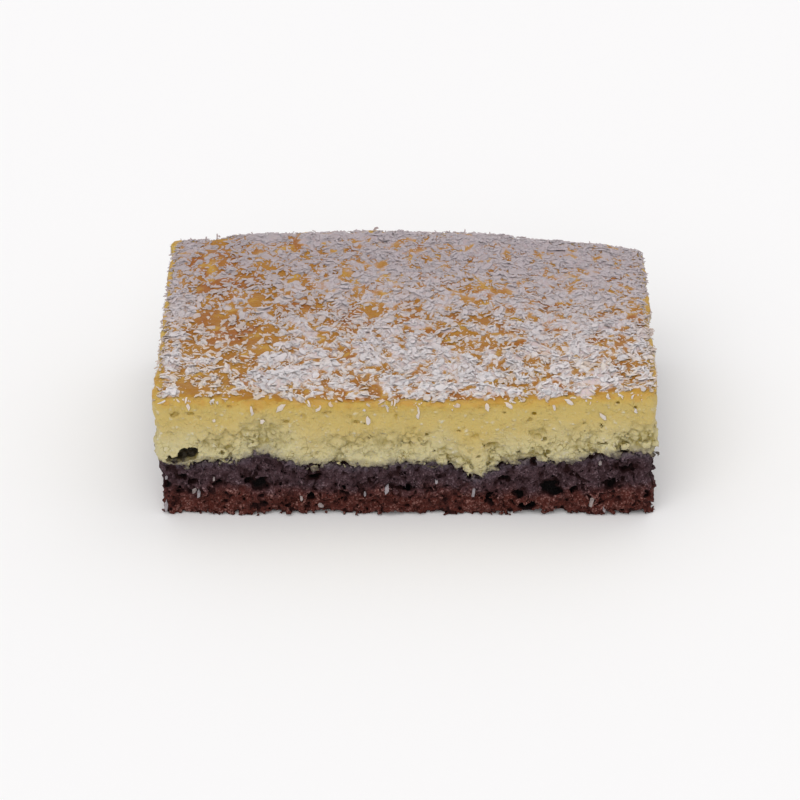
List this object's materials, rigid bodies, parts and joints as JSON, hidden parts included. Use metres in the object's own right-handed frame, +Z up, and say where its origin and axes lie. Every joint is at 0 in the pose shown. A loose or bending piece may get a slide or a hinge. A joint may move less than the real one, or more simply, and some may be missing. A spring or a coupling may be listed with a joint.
{
  "type": "chocolate coconut cake",
  "caption": "Rectangular portion of sheet cake: a dark cocoa sponge under a pale coconut layer, topped with coconut flakes.",
  "frame": {"origin": "middle of the bounding box's underside, on the surface that the cake stands on", "axes": "+Z up; +X along the long cut sides, to the right seen from the front; +Y from the front cut side to the back"},
  "size_m": [0.1012, 0.0672, 0.0317],
  "materials": {
    "cocoa_sponge": "baked cocoa crumb, matt",
    "coconut_layer": "moist pale yellow crumb, satin",
    "browned_top": "browned amber skin, glossy",
    "coconut_flakes": "dry white desiccated coconut, satin"
  },
  "bodies": {
    "root": {"cocoa_sponge": "cocoa_sponge", "coconut_layer": "coconut_layer"}
  },
  "joints": []
}
